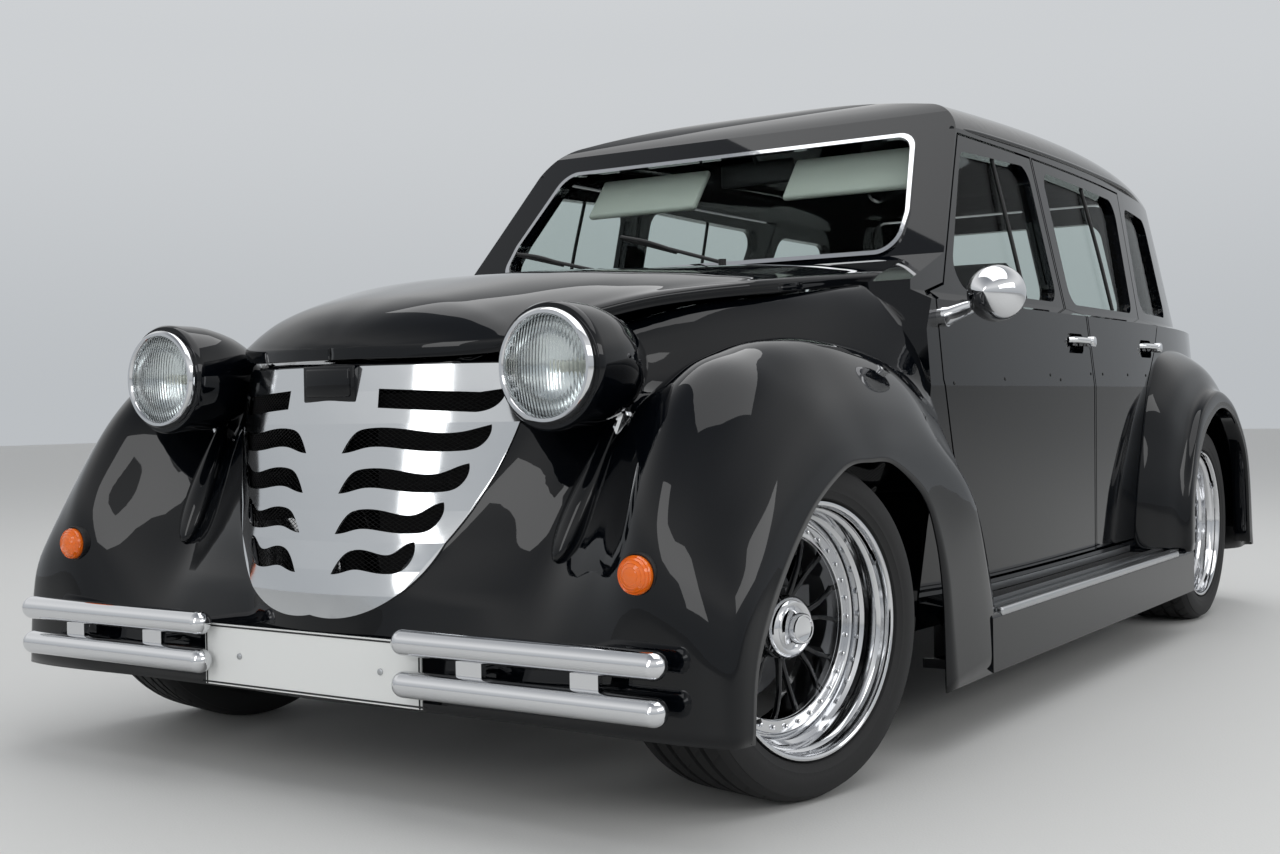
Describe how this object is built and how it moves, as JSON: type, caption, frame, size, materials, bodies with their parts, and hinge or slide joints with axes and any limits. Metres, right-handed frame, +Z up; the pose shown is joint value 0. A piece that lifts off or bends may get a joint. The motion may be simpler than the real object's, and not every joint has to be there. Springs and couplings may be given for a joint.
{
  "type": "small hatchback",
  "caption": "Small hatchback with pontoon wings, round lamp pods, polished shield grille, opening doors, bonnet and tailgate, and steered, turning wheels.",
  "frame": {"origin": "on the ground, under the middle of the bounding box", "axes": "+X forward, +Y to the car's left, +Z up"},
  "size_m": [3.5478, 1.8128, 1.4225],
  "materials": {
    "paint_black": "gloss",
    "underbody_black": "matte",
    "grille_polished": "polished",
    "bright_chrome": "polished",
    "glass_clear": "gloss",
    "rubber_black": "matte",
    "tyre_black": "matte",
    "wheel_metal": "polished",
    "trim_plastic": "matte",
    "lamp_plastic": "gloss",
    "seat_cloth": "matte",
    "cast_engine": "matte",
    "plate_white": "satin"
  },
  "bodies": {
    "shell": {"body_sides": "paint_black", "chassis": "underbody_black", "dashboard": "trim_plastic", "engine_block": "cast_engine", "exhaust": "underbody_black", "fixed_glass": "glass_clear", "floor_pan": "underbody_black", "front_bumper": "bright_chrome", "front_plate": "plate_white", "front_seats": "seat_cloth", "front_wings": "paint_black", "grille_mesh": "trim_plastic", "grille_plate": "grille_polished", "lamp_lenses": "glass_clear", "lamp_pods": "paint_black", "lamp_rims": "bright_chrome", "nose_panel": "paint_black", "rear_bench": "seat_cloth", "rear_bumper": "bright_chrome", "rear_wheelhouses": "underbody_black", "rear_wings": "paint_black", "roof_panel": "paint_black", "running_boards": "rubber_black", "screen_frame": "paint_black", "seat_bases": "trim_plastic", "small_lamps": "lamp_plastic", "steering_wheel": "trim_plastic", "tail_panel": "paint_black", "tread_strips": "bright_chrome", "visors_and_mirror": "trim_plastic", "windscreen": "glass_clear", "windscreen_trim": "bright_chrome", "wipers": "underbody_black"},
    "bonnet": {"bonnet": "paint_black"},
    "tailgate": {"tailgate": "paint_black", "tailgate_glass": "glass_clear", "rear_plate": "plate_white"},
    "front_door_left": {"door_front_left": "paint_black", "glass_front_left": "glass_clear", "mirror_left": "bright_chrome"},
    "rear_door_left": {"door_rear_left": "paint_black", "glass_rear_left": "glass_clear"},
    "upright_left": {"knuckle_left": "underbody_black"},
    "front_wheel_left": {"tyre_front_left": "tyre_black", "wheel_front_left": "wheel_metal"},
    "rear_wheel_left": {"tyre_rear_left": "tyre_black", "wheel_rear_left": "wheel_metal"},
    "front_door_right": {"door_front_right": "paint_black", "glass_front_right": "glass_clear", "mirror_right": "bright_chrome"},
    "rear_door_right": {"door_rear_right": "paint_black", "glass_rear_right": "glass_clear"},
    "upright_right": {"knuckle_right": "underbody_black"},
    "front_wheel_right": {"tyre_front_right": "tyre_black", "wheel_front_right": "wheel_metal"},
    "rear_wheel_right": {"tyre_rear_right": "tyre_black", "wheel_rear_right": "wheel_metal"}
  },
  "joints": [
    {"name": "bonnet_lift", "type": "hinge", "parent": "shell", "child": "bonnet", "pos_m": [1.656, 0, 0.752], "axis": [0, 1, 0], "range_deg": [0, 60]},
    {"name": "tailgate_lift", "type": "hinge", "parent": "shell", "child": "tailgate", "pos_m": [-1.512, 0, 1.293], "axis": [0, 1, 0], "range_deg": [0, 85]},
    {"name": "front_door_left_swing", "type": "hinge", "parent": "shell", "child": "front_door_left", "pos_m": [0.722, 0.765, 0.6], "axis": [0, 0, -1], "range_deg": [0, 65]},
    {"name": "rear_door_left_swing", "type": "hinge", "parent": "shell", "child": "rear_door_left", "pos_m": [-0.203, 0.775, 0.6], "axis": [0, 0, -1], "range_deg": [0, 65]},
    {"name": "front_door_right_swing", "type": "hinge", "parent": "shell", "child": "front_door_right", "pos_m": [0.722, -0.765, 0.6], "axis": [0, 0, 1], "range_deg": [0, 65]},
    {"name": "rear_door_right_swing", "type": "hinge", "parent": "shell", "child": "rear_door_right", "pos_m": [-0.203, -0.775, 0.6], "axis": [0, 0, 1], "range_deg": [0, 65]},
    {"name": "steer_left", "type": "hinge", "parent": "shell", "child": "upright_left", "pos_m": [1.3, 0.56, 0.283], "axis": [0, 0, 1], "range_deg": [-18, 42]},
    {"name": "steer_right", "type": "hinge", "parent": "shell", "child": "upright_right", "pos_m": [1.3, -0.56, 0.283], "axis": [0, 0, 1], "range_deg": [-18, 42]},
    {"name": "front_wheel_left_spin", "type": "hinge", "parent": "upright_left", "child": "front_wheel_left", "pos_m": [1.32703, 0.68716, 0.283], "axis": [0.2079, 0.9781, 0], "continuous": true},
    {"name": "front_wheel_right_spin", "type": "hinge", "parent": "upright_right", "child": "front_wheel_right", "pos_m": [1.27297, -0.68716, 0.283], "axis": [0.2079, 0.9781, 0], "continuous": true},
    {"name": "rear_wheel_left_spin", "type": "hinge", "parent": "shell", "child": "rear_wheel_left", "pos_m": [-1.125, 0.69, 0.283], "axis": [0, 1, 0], "continuous": true},
    {"name": "rear_wheel_right_spin", "type": "hinge", "parent": "shell", "child": "rear_wheel_right", "pos_m": [-1.125, -0.69, 0.283], "axis": [0, 1, 0], "continuous": true}
  ],
  "couplings": [
    {"joint": "steer_right", "follows": "steer_left", "ratio": 1}
  ]
}
